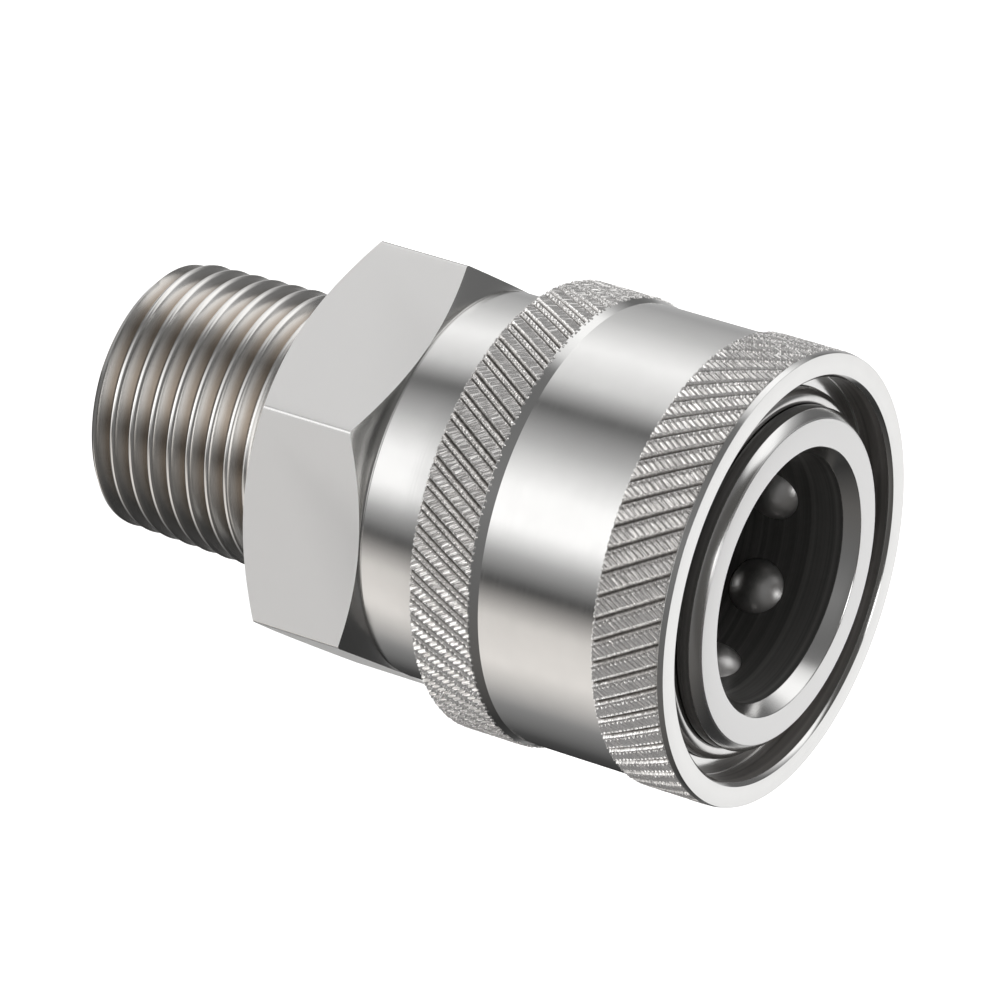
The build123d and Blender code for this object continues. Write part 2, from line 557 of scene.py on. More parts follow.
@dataclass(frozen=True)
class TurnedSteel:
    """Bright stainless steel with the fine rings that a lathe tool leaves.

    In some zones it gets a painted shade, where bores and recesses lie in shade, and in others it
    is milled or faced to a satin. Its grooves can get a painted shade too.
    """

    name: str
    colour: Colour = (0.77, 0.765, 0.755)
    handled: float = 0.93
    roughness: float = 0.17
    uneven: float = 0.10
    rings_per_mm: float = 9.0
    ring_depth: float = 0.0012
    grain_scale: float = 14000.0
    grain_depth: float = 0.0
    blotch_scale: float = 420.0
    # The zones get a painted shade: a darker, streaky, less metallic colour where bores and
    # recesses lie in shade.
    zones: tuple[Zone, ...] = ()
    painted_shade: Colour = (0.24, 0.235, 0.23)
    painted_shade_roughness: float = 0.34
    painted_shade_metal: float = 0.45
    streaks_per_mm: float = 2.2
    streak_shades: tuple[Point, ...] = ((0.4, 0.75), (0.65, 1.35))
    satin: tuple[Zone, ...] = ()
    satin_colour: Colour = (0.77, 0.762, 0.755)
    satin_roughness: float = 0.5
    satin_metal: float = 0.35
    satin_upright: bool = False
    upright_limit: float = 0.25
    # Painted shade in the grooves, darker the deeper they run below the crest.
    groove_shade: GrooveShade | None = None

    def make(self) -> bpy.types.Material:
        """Builds the material and returns it."""
        material, graph, shader = new_finish(self.name, Metallic=1.0)
        place = graph.add("TexCoord").outputs["Object"]
        axes = graph.add("SeparateXYZ")
        graph.link(place, axes.inputs[0])
        squares = [graph.maths("MULTIPLY", axis, axis) for axis in axes.outputs[:2]]
        radius = graph.maths("DIVIDE", graph.maths("SQRT", graph.maths("ADD", *squares)), MM)
        height = graph.maths("DIVIDE", axes.outputs[2], MM)
        section = graph.add("CombineXYZ")
        graph.link(radius, section.inputs[0])
        graph.link(height, section.inputs[2])
        rings = graph.noise(section.outputs[0], self.rings_per_mm, 3.0, 0.65)
        streaks = graph.noise(section.outputs[0], self.streaks_per_mm, 3.0, 0.7)
        grain = graph.noise(place, self.grain_scale, 2.0, 0.6)
        blotches = graph.noise(place, self.blotch_scale, 4.0, 0.6)
        # The mask of the painted shade in the bores and recesses.
        painted_shade = self.mask(graph, radius, height, self.zones)
        satin = self.mask(graph, radius, height, self.satin)
        if self.satin_upright:
            satin = self.upright(graph, satin)
        colour = self.colour_of(graph, painted_shade, satin, blotches, streaks)
        # Painted shade in the grooves.
        if self.groove_shade:
            colour = self.paint_groove_shade(graph, colour, self.groove_shade, radius, height)
        graph.link(colour, shader.inputs["Base Color"])
        graph.feed(self.metal_of(graph, painted_shade, satin), shader.inputs["Metallic"])
        rough = self.roughness_of(graph, painted_shade, satin, blotches, rings)
        graph.link(rough, shader.inputs["Roughness"])
        graph.bump(shader, self.relief_of(graph, satin, rings, grain), 1.0, MM)
        return material

    def mask(
        self,
        graph: Graph,
        radius: bpy.types.NodeSocket,
        height: bpy.types.NodeSocket,
        zones: Sequence[Zone],
    ) -> Feed:
        """Marks where any of some zones lies.

        Args:
            graph: The material's graph.
            radius: The socket with the distance from Z, in millimetres.
            height: The socket with z, in millimetres.
            zones: The zones to mark.

        Returns:
            The mask's socket, or the number 0 where there are no zones.
        """
        total: Feed = 0.0
        for zone in zones:
            here: Feed = 1.0
            for value, low, high in (
                (radius, zone.inner, zone.outer),
                (height, zone.low, zone.high),
            ):
                here = graph.maths("MULTIPLY", here, graph.rise(value, low - zone.fade, low))
                here = graph.maths("MULTIPLY", here, graph.rise(value, high + zone.fade, high))
            total = graph.maths("MAXIMUM", total, here)
        return total

    def upright(self, graph: Graph, mask: Feed) -> bpy.types.NodeSocket:
        """Keeps a mask only where the surface stands parallel to Z.

        Args:
            graph: The material's graph.
            mask: The mask.

        Returns:
            The narrower mask's socket.
        """
        facing = graph.add("SeparateXYZ")
        graph.link(graph.add("TexCoord").outputs["Normal"], facing.inputs[0])
        slope = graph.maths("ABSOLUTE", facing.outputs[2])
        return graph.maths("MULTIPLY", mask, graph.maths("LESS_THAN", slope, self.upright_limit))

    def colour_of(
        self,
        graph: Graph,
        painted_shade: Feed,
        satin: Feed,
        blotches: bpy.types.NodeSocket,
        streaks: bpy.types.NodeSocket,
    ) -> bpy.types.NodeSocket:
        """Lays the steel's colour, its satin faces and the streaky painted shade of its bores and
        recesses.

        Args:
            graph: The material's graph.
            painted_shade: The mask of the painted shade in the bores and recesses.
            satin: The mask of the satin faces.
            blotches: The noise of the marks that handling leaves.
            streaks: The noise of the turning streaks.

        Returns:
            The colour's socket.
        """
        dulled = [share * self.handled for share in self.colour]
        colour = graph.mix(blotches, opaque(self.colour), opaque(dulled))
        if self.satin:
            colour = graph.mix(satin, colour, opaque(self.satin_colour))
        # Painted shade over the bores and recesses, streaked with the turning streaks.
        if self.zones:
            shades = [
                (place, tuple(share * factor for share in self.painted_shade))
                for place, factor in self.streak_shades
            ]
            colour = graph.mix(painted_shade, colour, graph.ramp(streaks, shades))
        return colour

    def paint_groove_shade(
        self,
        graph: Graph,
        colour: bpy.types.NodeSocket,
        groove_shade: GrooveShade,
        radius: bpy.types.NodeSocket,
        height: bpy.types.NodeSocket,
    ) -> bpy.types.NodeSocket:
        """Paints shade into the grooves, darker the further they lie below their crest.

        Args:
            graph: The material's graph.
            colour: The colour that is shaded.
            groove_shade: The painted shade of the grooves.
            radius: The socket with the distance from Z, in millimetres.
            height: The socket with z, in millimetres.

        Returns:
            The shaded colour's socket.
        """
        crest = graph.maths("MULTIPLY_ADD", height, groove_shade.taper, groove_shade.crest)
        depth = graph.maths("SUBTRACT", crest, radius)
        fall = graph.rise(depth, groove_shade.near, groove_shade.far, ease=True)
        return graph.mix(fall, colour, opaque(groove_shade.colour), "MULTIPLY")

    def metal_of(self, graph: Graph, painted_shade: Feed, satin: Feed) -> Feed:
        """Lets the satin faces and the places with painted shade scatter light as a dull film does.

        Args:
            graph: The material's graph.
            painted_shade: The mask of the painted shade in the bores and recesses.
            satin: The mask of the satin faces.

        Returns:
            How metallic the surface is.
        """
        metal: Feed = 1.0
        layers = ((satin, self.satin, self.satin_metal), (painted_shade, self.zones, self.painted_shade_metal))
        for mask, zones, value in layers:
            if zones:
                loss = graph.maths("MULTIPLY", mask, 1.0 - value)
                metal = graph.maths("SUBTRACT", metal, loss)
        return metal

    def roughness_of(
        self,
        graph: Graph,
        painted_shade: Feed,
        satin: Feed,
        blotches: bpy.types.NodeSocket,
        rings: bpy.types.NodeSocket,
    ) -> bpy.types.NodeSocket:
        """Lays the roughness, a little uneven with the rings and with handling.

        Args:
            graph: The material's graph.
            painted_shade: The mask of the painted shade in the bores and recesses.
            satin: The mask of the satin faces.
            blotches: The noise of the marks that handling leaves.
            rings: The noise of the lathe's rings.

        Returns:
            The roughness's socket.
        """
        marks = graph.maths("SUBTRACT", graph.maths("ADD", blotches, rings), 1.0)
        rough = graph.maths("MULTIPLY_ADD", marks, self.uneven, self.roughness)
        layers = (
            (satin, self.satin, self.satin_roughness),
            (painted_shade, self.zones, self.painted_shade_roughness),
        )
        for mask, zones, value in layers:
            if zones:
                gap = graph.maths("SUBTRACT", value, rough)
                rough = graph.maths("MULTIPLY_ADD", gap, mask, rough)
        return rough

    def relief_of(
        self,
        graph: Graph,
        satin: Feed,
        rings: bpy.types.NodeSocket,
        grain: bpy.types.NodeSocket,
    ) -> bpy.types.NodeSocket:
        """Lays the lathe's rings, and a milled grain on the satin faces.

        Args:
            graph: The material's graph.
            satin: The mask of the satin faces.
            rings: The noise of the lathe's rings.
            grain: The noise of the milled grain.

        Returns:
            The socket with the relief's height, in millimetres.
        """
        plain = graph.maths("SUBTRACT", 1.0, satin) if self.satin else 1.0
        ringed = graph.maths("MULTIPLY", graph.maths("MULTIPLY", rings, self.ring_depth), plain)
        milled = satin if self.satin else 1.0
        grained = graph.maths("MULTIPLY", graph.maths("MULTIPLY", grain, self.grain_depth), milled)
        return graph.maths("ADD", ringed, grained)


@dataclass(frozen=True)
class DrawnWire:
    """Smooth drawn wire, or a polished ball, with faint handling marks."""

    name: str
    colour: Colour
    roughness: float
    metal: float = 1.0
    marks: float = 0.06
    mark_scale: float = 900.0
    mark_depth: float = 0.002
    handled: float = 0.85

    def make(self) -> bpy.types.Material:
        """Builds the material and returns it."""
        material, graph, shader = new_finish(self.name, Metallic=self.metal)
        place = graph.add("TexCoord").outputs["Object"]
        cloud = graph.noise(place, self.mark_scale, 5.0, 0.7)
        dulled = [share * self.handled for share in self.colour]
        tint = graph.mix(cloud, opaque(self.colour), opaque(dulled))
        graph.link(tint, shader.inputs["Base Color"])
        swing = graph.maths("SUBTRACT", cloud, 0.5)
        rough = graph.maths("MULTIPLY_ADD", swing, self.marks, self.roughness)
        graph.link(rough, shader.inputs["Roughness"])
        graph.bump(shader, cloud, 0.2, self.mark_depth * MM)
        return material


@dataclass(frozen=True)
class SealRubber:
    """Dull black seal rubber with a fine moulded grain."""

    name: str
    colour: Colour = (0.012, 0.012, 0.013)
    worn: Colour = (0.03, 0.03, 0.031)
    roughness: Point = (0.42, 0.67)
    grain_scale: float = 6000.0
    grain_depth: float = 0.01

    def make(self) -> bpy.types.Material:
        """Builds the material and returns it."""
        material, graph, shader = new_finish(self.name)
        place = graph.add("TexCoord").outputs["Object"]
        grain = graph.noise(place, self.grain_scale, 4.0, 0.7)
        tint = graph.ramp(grain, [(0.3, self.colour), (0.75, self.worn)])
        graph.link(tint, shader.inputs["Base Color"])
        least, most = self.roughness
        rough = graph.maths("MULTIPLY_ADD", grain, most - least, least)
        graph.link(rough, shader.inputs["Roughness"])
        graph.bump(shader, grain, 0.4, self.grain_depth * MM)
        return material


@dataclass(frozen=True)
class StudioFloor:
    """A pale, even studio floor that glows softly."""

    name: str = "pale_floor"
    colour: Colour = (0.9, 0.9, 0.9)
    glow: float = 1.0

    def make(self) -> bpy.types.Material:
        """Builds the material and returns it."""
        material, _, _ = new_finish(
            self.name,
            Base_Color=opaque(self.colour),
            Roughness=0.9,
            Emission_Color=opaque((1.0, 1.0, 1.0)),
            Emission_Strength=self.glow,
            Specular_IOR_Level=0.0,
        )
        return material


class Dresser:
    """Gives a finished piece its material and body, and hides the CAD nodes it stands for."""

    @staticmethod
    def dress(
        piece: bpy.types.Object,
        material: bpy.types.Material,
        body: str,
        nodes: Sequence[str],
        slot: Slot,
    ) -> bpy.types.Object:
        """Finishes one piece.

        Args:
            piece: The piece.
            material: The finish it wears.
            body: The CAD body it rides on.
            nodes: The CAD nodes it stands for.
            slot: The record's material slot. Not used.

        Returns:
            The piece.
        """
        piece.data.materials.clear()
        piece.data.materials.append(material)
        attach(piece, body)
        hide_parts(*nodes)
        LOG.info("%s: %d faces, rides on %s", piece.name, len(piece.data.polygons), body)
        return piece


@dataclass
class PipeThread:
    """The tapered male pipe thread, a right-handed helix."""

    length: float = 14.1
    end_radius: float = 8.335
    taper: float = 1 / 32
    pitch: float = 1.411
    depth: float = 1.0
    crest: float = 0.3
    root: float = 0.12
    passage: float = 5.0
    end_chamfer: float = 0.65
    crest_height: float = 1.83
    crest_azimuth: float = -96.4
    overrun: float = 0.3
    steps: int = 120
    lathe: Lathe = field(default_factory=Lathe)

    def tooth(self) -> list[Point]:
        """One pitch of the thread's form, from crest middle to crest middle."""
        top = self.end_radius
        bottom = top - self.depth
        crest_end = self.crest / 2
        flank_end = (self.pitch - self.root) / 2
        half = [
            (top, 0.0),
            (top - 0.012, crest_end * 0.55),
            (top - 0.06, crest_end * 1.05),
            (top - 0.15, crest_end + 0.085),
            (bottom + 0.1, flank_end - 0.06),
            (bottom, flank_end + 0.02),
        ]
        return half + [(radius, self.pitch - z) for radius, z in reversed(half)]

    def helix(self) -> bpy.types.Object:
        """Winds the tooth into a long, closed, tapered screw.

        Returns:
            The screw, a little longer than the thread at both ends.
        """
        low = self.crest_height - self.crest_azimuth / 360 * self.pitch - 4 * self.pitch
        outline = [(radius, low + z) for radius, z in self.tooth()]
        screw = self.lathe.draw("pipe_thread", outline, closed=False)
        winding = screw.modifiers.new("helix", "SCREW")
        winding.angle = FULL_TURN
        winding.screw_offset = self.pitch * MM
        winding.iterations = math.ceil(self.length / self.pitch) + 4
        winding.steps = self.steps
        winding.render_steps = self.steps
        winding.use_merge_vertices = True
        winding.merge_threshold = 0.0005 * MM
        Bench.apply(screw, winding)
        Bench.heal(screw)
        heights = [vertex.co.z for vertex in screw.data.vertices]
        taper = screw.modifiers.new("taper", "SIMPLE_DEFORM")
        taper.deform_method = "TAPER"
        taper.deform_axis = "Z"
        taper.factor = self.taper / self.end_radius / MM * (max(heights) - min(heights))
        Bench.apply(screw, taper)
        Bench.trim(screw, -self.overrun, self.length + self.overrun)
        Bench.heal(screw)
        return screw

    def build(self) -> bpy.types.Object:
        """Cuts the screw to length, chamfers its end and bores it.

        Returns:
            The thread.
        """
        screw = self.helix()
        widest = self.end_radius + 1.2
        chamfer_start = self.end_radius + self.taper * self.end_chamfer - self.end_chamfer
        envelope = self.lathe.turn(
            "thread_envelope",
            [
                (self.passage, 0.4),
                (self.passage + 0.4, 0.0),
                (chamfer_start, 0.0),
                (widest, widest - chamfer_start),
                (widest, self.length),
                (self.passage, self.length),
            ],
        )
        Bench.cut(screw, envelope, "INTERSECT")
        Bench.heal(screw)
        Bench.smooth(screw, 24)
        return screw


@dataclass
class Hexagon:
    """The wrench hexagon, turned back at its corners."""

    low: float = 14.1
    length: float = 8.2
    corner: float = 13.8564
    rounding: float = 0.18
    chamfer_angle: float = 30.0
    passage: float = 5.0
    lathe: Lathe = field(default_factory=Lathe)

    def build(self) -> bpy.types.Object:
        """Models the hexagon.

        Returns:
            The hexagon.
        """
        Bench.clear()
        middle = self.low + self.length / 2
        bpy.ops.mesh.primitive_cylinder_add(
            vertices=6,
            radius=self.corner * MM,
            depth=self.length * MM,
            location=(0, 0, middle * MM),
        )
        hexagon = bpy.context.object
        hexagon.name = "hexagon"
        Bench.edit(hexagon, "EDGE")
        bpy.ops.mesh.select_all(action="DESELECT")
        bpy.ops.object.mode_set(mode="OBJECT")
        for edge in hexagon.data.edges:
            first, last = (hexagon.data.vertices[i].co for i in edge.vertices)
            edge.select = abs(first.z - last.z) > MM
        bpy.ops.object.mode_set(mode="EDIT")
        bpy.ops.mesh.bevel(offset=self.rounding * MM, segments=4, affect="EDGES")
        Bench.done(hexagon)
        flat = self.corner * math.cos(math.radians(30))
        widest = self.corner + 0.6
        high = self.low + self.length
        drop = (widest - flat) * math.tan(math.radians(self.chamfer_angle))
        envelope = self.lathe.turn(
            "hexagon_envelope",
            [
                (self.passage, self.low),
                (flat, self.low),
                (widest, self.low + drop),
                (widest, high - drop),
                (flat, high),
                (self.passage, high),
            ],
        )
        Bench.cut(hexagon, envelope, "INTERSECT")
        Bench.heal(hexagon)
        Bench.soften(hexagon, 0.07)
        Bench.smooth(hexagon, 16)
        return hexagon


@dataclass
class Nose:
    """The barrel and nose: the turned front of the body, with its ball pockets and socket."""

    low: float = 22.3
    relief_width: float = 0.16
    relief_radius: float = 11.9
    barrel: float = 12.0
    shoulder: float = 28.2
    radius: float = 10.45
    face: float = 44.66
    chamfer: float = 0.55
    socket: float = 7.6
    mouth: float = 8.24
    mouth_depth: float = 0.85
    passage: float = 5.0
    floor: float = 23.36
    seal_low: float = 24.86
    seal_width: float = 3.3
    seal_radius: float = 9.5
    ring_height: float = 42.609
    ring_wire: float = 0.65
    ring_centre: float = 10.65
    ring_play: float = 0.02
    wall_line: float = 34.0
    pocket: float = 2.01
    pocket_centre: float = 8.488
    pocket_height: float = 38.91
    pocket_reach: float = 2.4
    pocket_count: int = 8
    first_pocket: float = -2.5
    lathe: Lathe = field(default_factory=Lathe)

    def outline(self) -> list[Point]:
        """The half section, round from the passage's foot.

        Returns:
            Its corners as (radius, z), in millimetres.
        """
        groove_half = self.ring_wire + self.ring_play
        groove_floor = self.ring_centre - groove_half
        return [
            (self.passage, self.low),
            (self.relief_radius, self.low),
            (self.relief_radius, self.low + self.relief_width),
            (self.barrel, self.low + self.relief_width),
            (self.barrel, self.shoulder - 0.2),
            (self.barrel - 0.2, self.shoulder),
            (self.radius, self.shoulder),
            (self.radius, self.wall_line),
            (self.radius, self.ring_height - groove_half),
            (groove_floor, self.ring_height - groove_half),
            (groove_floor, self.ring_height + groove_half),
            (self.radius, self.ring_height + groove_half),
            (self.radius, self.face - self.chamfer),
            (self.radius - self.chamfer, self.face),
            (self.mouth, self.face),
            (self.socket, self.face - self.mouth_depth),
            (self.socket, self.pocket_height + self.pocket_reach),
            (self.socket, self.pocket_height - self.pocket_reach),
            (self.socket, self.seal_low + self.seal_width),
            (self.seal_radius, self.seal_low + self.seal_width),
            (self.seal_radius, self.seal_low),
            (self.socket, self.seal_low),
            (self.socket, self.floor),
            (self.passage, self.floor),
        ]

    def pocket_tool(self) -> bpy.types.Object:
        """Models a round-ended drill that points out along +X.

        Returns:
            The drill, in the place of the pocket at angle zero.
        """
        Bench.clear()
        bpy.ops.mesh.primitive_uv_sphere_add(
            segments=48,
            ring_count=24,
            radius=self.pocket * MM,
            location=(self.pocket_centre * MM, 0, self.pocket_height * MM),
            rotation=(0, math.radians(90), 0),
        )
        drill = Bench.settle(bpy.context.object)
        Bench.edit(drill, "FACE")
        bpy.ops.mesh.select_all(action="DESELECT")
        bpy.ops.object.mode_set(mode="OBJECT")
        for face in drill.data.polygons:
            face.select = face.center.x > self.pocket_centre * MM
        bpy.ops.object.mode_set(mode="EDIT")
        bpy.ops.mesh.extrude_region_move(TRANSFORM_OT_translate={"value": (3 * MM, 0, 0)})
        return Bench.done(drill)

    def build(self) -> bpy.types.Object:
        """Turns the nose and drills its pockets.

        Returns:
            The nose.
        """
        nose = self.lathe.turn("nose", self.outline(), edge=0.05)
        first = self.pocket_tool()
        step = 360 / self.pocket_count
        drills = [
            Bench.turned_copy(first, f"drill_{number}", self.first_pocket + step * number)
            for number in range(self.pocket_count)
        ]
        bpy.data.objects.remove(first)
        Bench.cut(nose, Bench.join("drills", *drills))
        Bench.heal(nose)
        Bench.smooth(nose, 13)
        return nose


@dataclass
class CouplerBody:
    """The one-piece body: thread, hexagon, barrel and nose."""

    thread: PipeThread = field(default_factory=PipeThread)
    hexagon: Hexagon = field(default_factory=Hexagon)
    nose: Nose = field(default_factory=Nose)

    def build(self) -> list[bpy.types.Object]:
        """Builds and dresses the body's pieces.

        Returns:
            The thread, the hexagon and the nose.
        """
        steel = TurnedSteel(
            "turned_body_steel",
            # Painted shade in the socket and passage, the seal groove and pockets, and on the
            # nose's wall in the recess under the collar.
            zones=(
                Zone(0.0, 7.66, 0.5, 43.75, 0.06),
                Zone(9.8, 10.6, 28.2, 44.05, 0.05),
                Zone(7.6, 9.6, 24.0, 40.0, 0.05),
            ),
            satin=(Zone(8.3, 10.0, 44.6, 44.8, 0.05),),
            satin_colour=(0.74, 0.735, 0.73),
            satin_roughness=0.3,
            satin_metal=0.9,
        ).make()
        flats = TurnedSteel(
            "milled_hexagon_steel",
            grain_depth=0.004,
            satin=(Zone(11.9, 13.78, 14.0, 22.4, 0.02),),
            satin_colour=(0.79, 0.782, 0.772),
            satin_metal=0.35,
            satin_upright=True,
            # Painted shade inside the passage.
            zones=(Zone(0.0, 5.2, 14.0, 22.4, 0.06),),
        ).make()
        thread_steel = TurnedSteel(
            "cut_thread_steel",
            colour=(0.82, 0.805, 0.785),
            roughness=0.2,
            ring_depth=0.0016,
            # Warm painted shade in the thread's grooves, and painted shade inside the passage.
            groove_shade=GrooveShade(8.335, 0.2, 0.9, (0.72, 0.67, 0.62), 1 / 32),
            zones=(Zone(0.0, 5.2, 0.4, 14.1, 0.06),),
        ).make()
        pieces = [
            (self.thread.build(), thread_steel),
            (self.hexagon.build(), flats),
            (self.nose.build(), steel),
        ]
        return [
            Dresser.dress(piece, finish, Body.BODY.value, ["body"], Slot.TURNED)
            for piece, finish in pieces
        ]


@dataclass(frozen=True)
class Groove:
    """One V groove of a knurling wheel: its place in the pitch, half width and depth."""

    share: float
    half_width: float
    depth: float


@dataclass(frozen=True)
class GrooveSet:
    """Slanting grooves that all lean one way round a band."""

    starts: int
    grooves: tuple[Groove, ...]
    radius: float = 13.9
    ridge: float = 0.08

    @property
    def pitch(self) -> float:
        """The distance from start to start round the band, in millimetres."""
        return FULL_TURN * self.radius / self.starts

    def lines(self) -> list[float]:
        """The places in one pitch where the mesh has a line.

        Returns:
            The places, in pitches from 0 up to but without 1.
        """
        places = set()
        for groove in self.grooves:
            reach = groove.half_width / self.pitch
            for part in (-1.0, -0.5, 0.0, 0.5, 1.0):
                places.add(round((groove.share + part * reach) % 1.0, 6))
        strong = self.grooves[0]
        reach = (strong.half_width + self.ridge) / self.pitch
        places.update(round((strong.share + side * reach) % 1.0, 6) for side in (-1, 1))
        return sorted(places)

    def roughened(self, place: float) -> float:
        """How far a crossing groove still cuts at a place.

        It doesn't cut beside the strong groove, where a plain ridge stands.

        Args:
            place: The place round the band, in pitches.

        Returns:
            The share of the crossing groove's depth, from 0 to 1.
        """
        strong = self.grooves[0]
        away = abs((place - strong.share + 0.5) % 1.0 - 0.5) * self.pitch
        return min(1.0, max(0.0, (away - strong.half_width) / self.ridge))

    def depth(self, place: float) -> float:
        """How deep the grooves are at a place, in millimetres.

        Args:
            place: The place round the band, in pitches.

        Returns:
            The depth below the crests.
        """
        deepest = 0.0
        for groove in self.grooves:
            away = abs((place - groove.share + 0.5) % 1.0 - 0.5) * self.pitch
            deepest = max(deepest, groove.depth * (1 - away / groove.half_width))
        return deepest


@dataclass
class Knurl:
    """One band of knurling: a coarse set of grooves crossed by a fine one."""

    name: str
    low: float
    high: float
    coarse: GrooveSet
    fine: GrooveSet
    lean: float
    phase: float
    radius: float = 13.9
    seat: float = 13.3
    edge: float = 0.06
    rough: float = 0.05
    seed: int = 5
    overrun: float = 0.2

    def strip(self) -> bpy.types.Object:
        """Models the slanting strip between two coarse grooves.

        Its mesh lines follow both sets of grooves, so every groove has a clean bottom.

        Returns:
            The strip, a little longer than the band is high.
        """
        slope = math.tan(math.radians(self.lean))
        middle = (self.low + self.high) / 2
        half = (self.high - self.low) / 2 + self.overrun
        across = self.coarse.lines() + [1.0]
        fine_reach = math.ceil((2 * half * abs(slope) + self.coarse.pitch) / self.fine.pitch) + 1
        along = [n + line for n in range(-fine_reach, fine_reach) for line in self.fine.lines()]
        Bench.clear()
        bpy.ops.mesh.primitive_grid_add(
            x_subdivisions=len(across) - 1, y_subdivisions=len(along) - 1, size=MM
        )
        strip = bpy.context.object
        strip.name = self.name
        for vertex in strip.data.vertices:
            u = across[round((vertex.co.x / MM + 0.5) * (len(across) - 1))]
            v = along[round((vertex.co.y / MM + 0.5) * (len(along) - 1))]
            way = (u * self.coarse.pitch + v * self.fine.pitch) / 2
            rise = (u * self.coarse.pitch - v * self.fine.pitch) / (2 * slope)
            crossing = self.fine.depth(v) * self.coarse.roughened(u)
            depth = max(self.coarse.depth(u), crossing)
            radius = self.radius - depth
            angle = math.radians(self.phase) + way / self.radius
            vertex.co = Vector(
                (radius * math.cos(angle), radius * math.sin(angle), middle - rise)
            ) * MM
        return strip

    def build(self) -> bpy.types.Object:
        """Copies the strip round the band and closes the ends.

        Returns:
            The band.
        """
        band = self.strip()
        Bench.edit(band)
        bpy.ops.mesh.spin(
            steps=self.coarse.starts,
            angle=FULL_TURN,
            center=(0, 0, 0),
            axis=(0, 0, 1),
            dupli=True,
        )
        bpy.ops.mesh.select_all(action="SELECT")
        bpy.ops.mesh.remove_doubles(threshold=0.002 * MM)
        bpy.ops.object.mode_set(mode="OBJECT")
        self.batter(band)
        for height, side in ((self.low + self.edge, -1), (self.high - self.edge, 1)):
            Bench.edit(band)
            bpy.ops.mesh.bisect(
                plane_co=(0, 0, height * MM),
                plane_no=(0, 0, side),
                clear_outer=True,
                threshold=CUT_REACH,
            )
            bpy.ops.object.mode_set(mode="OBJECT")
            self.close(band, height, side)
        Bench.pick_open_edges(band)
        bpy.ops.mesh.bridge_edge_loops()
        bpy.ops.mesh.select_all(action="SELECT")
        bpy.ops.mesh.normals_make_consistent(inside=False)
        bpy.ops.object.mode_set(mode="OBJECT")
        return band

    def batter(self, band: bpy.types.Object) -> None:
        """Makes every crest a little uneven, as a rolled knurl is.

        Args:
            band: The band.
        """
        chance = random.Random(self.seed)
        for vertex in band.data.vertices:
            loss = self.rough * chance.random() ** 2 * MM
            vertex.co.xy *= 1 - loss / vertex.co.xy.length
            vertex.co.z += chance.uniform(-0.4, 0.4) * loss

    def close(self, band: bpy.types.Object, height: float, side: int) -> None:
        """Chamfers one end of the band and runs its end face in to the seat.

        Args:
            band: The open band.
            height: Where the open end is, in millimetres.
            side: 1 for the upper end and -1 for the lower one.
        """
        Bench.pick_open_edges(band)
        bpy.ops.object.mode_set(mode="OBJECT")
        for edge in band.data.edges:
            ends = [band.data.vertices[i].co.z for i in edge.vertices]
            edge.select = edge.select and all(abs(z - height * MM) < 0.01 * MM for z in ends)
        bpy.ops.object.mode_set(mode="EDIT")
        rim = self.radius - self.edge
        steps = ((rim / self.radius, side * self.edge), (self.seat / rim, 0.0))
        for scale, rise in steps:
            bpy.ops.mesh.extrude_region_move(
                TRANSFORM_OT_translate={"value": (0, 0, rise * MM)}
            )
            bpy.ops.transform.resize(value=(scale, scale, 1.0), center_override=(0, 0, 0))
        bpy.ops.object.mode_set(mode="OBJECT")


